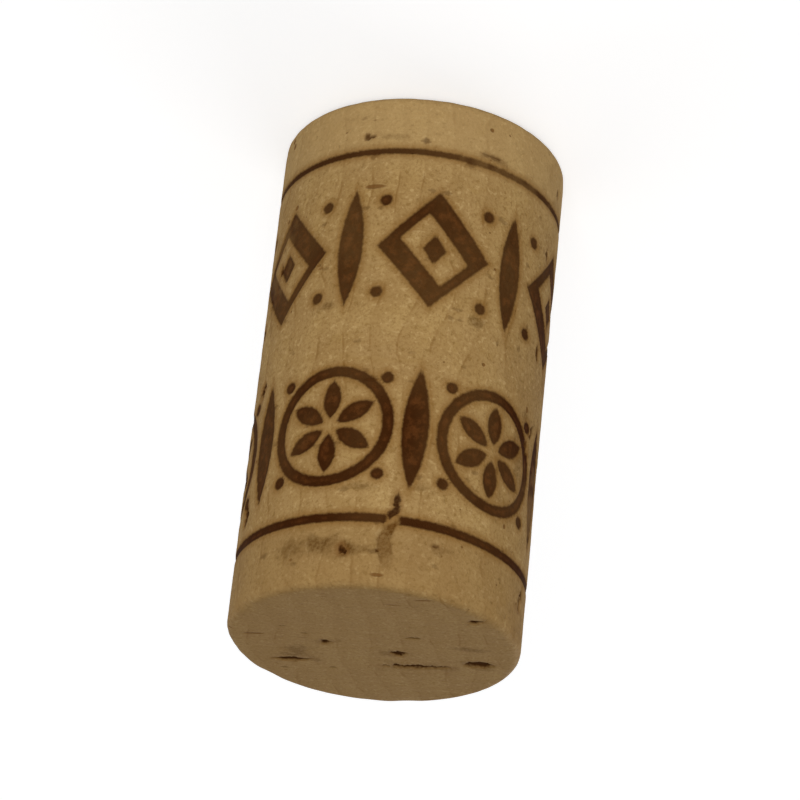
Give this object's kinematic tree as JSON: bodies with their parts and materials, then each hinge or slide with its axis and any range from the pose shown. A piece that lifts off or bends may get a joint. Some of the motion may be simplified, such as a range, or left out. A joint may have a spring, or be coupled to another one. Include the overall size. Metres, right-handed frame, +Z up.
{
  "type": "natural cork stopper",
  "caption": "Straight round stopper of natural cork with eased rims, a split near one end, bark pits and a branded frieze of lozenges and roundels.",
  "frame": {"origin": "centre of the lower end face, on the surface that the stopper stands on", "axes": "+Z up the stopper's axis, from the end that it stands on to the end beside the split; -Y is the front, which carries the split; the bark's breathing channels run 12 degrees counter-clockwise of X"},
  "size_m": [0.024, 0.024, 0.045],
  "materials": {
    "cork": "matte"
  },
  "bodies": {
    "root": {"cork": "cork"}
  },
  "joints": []
}
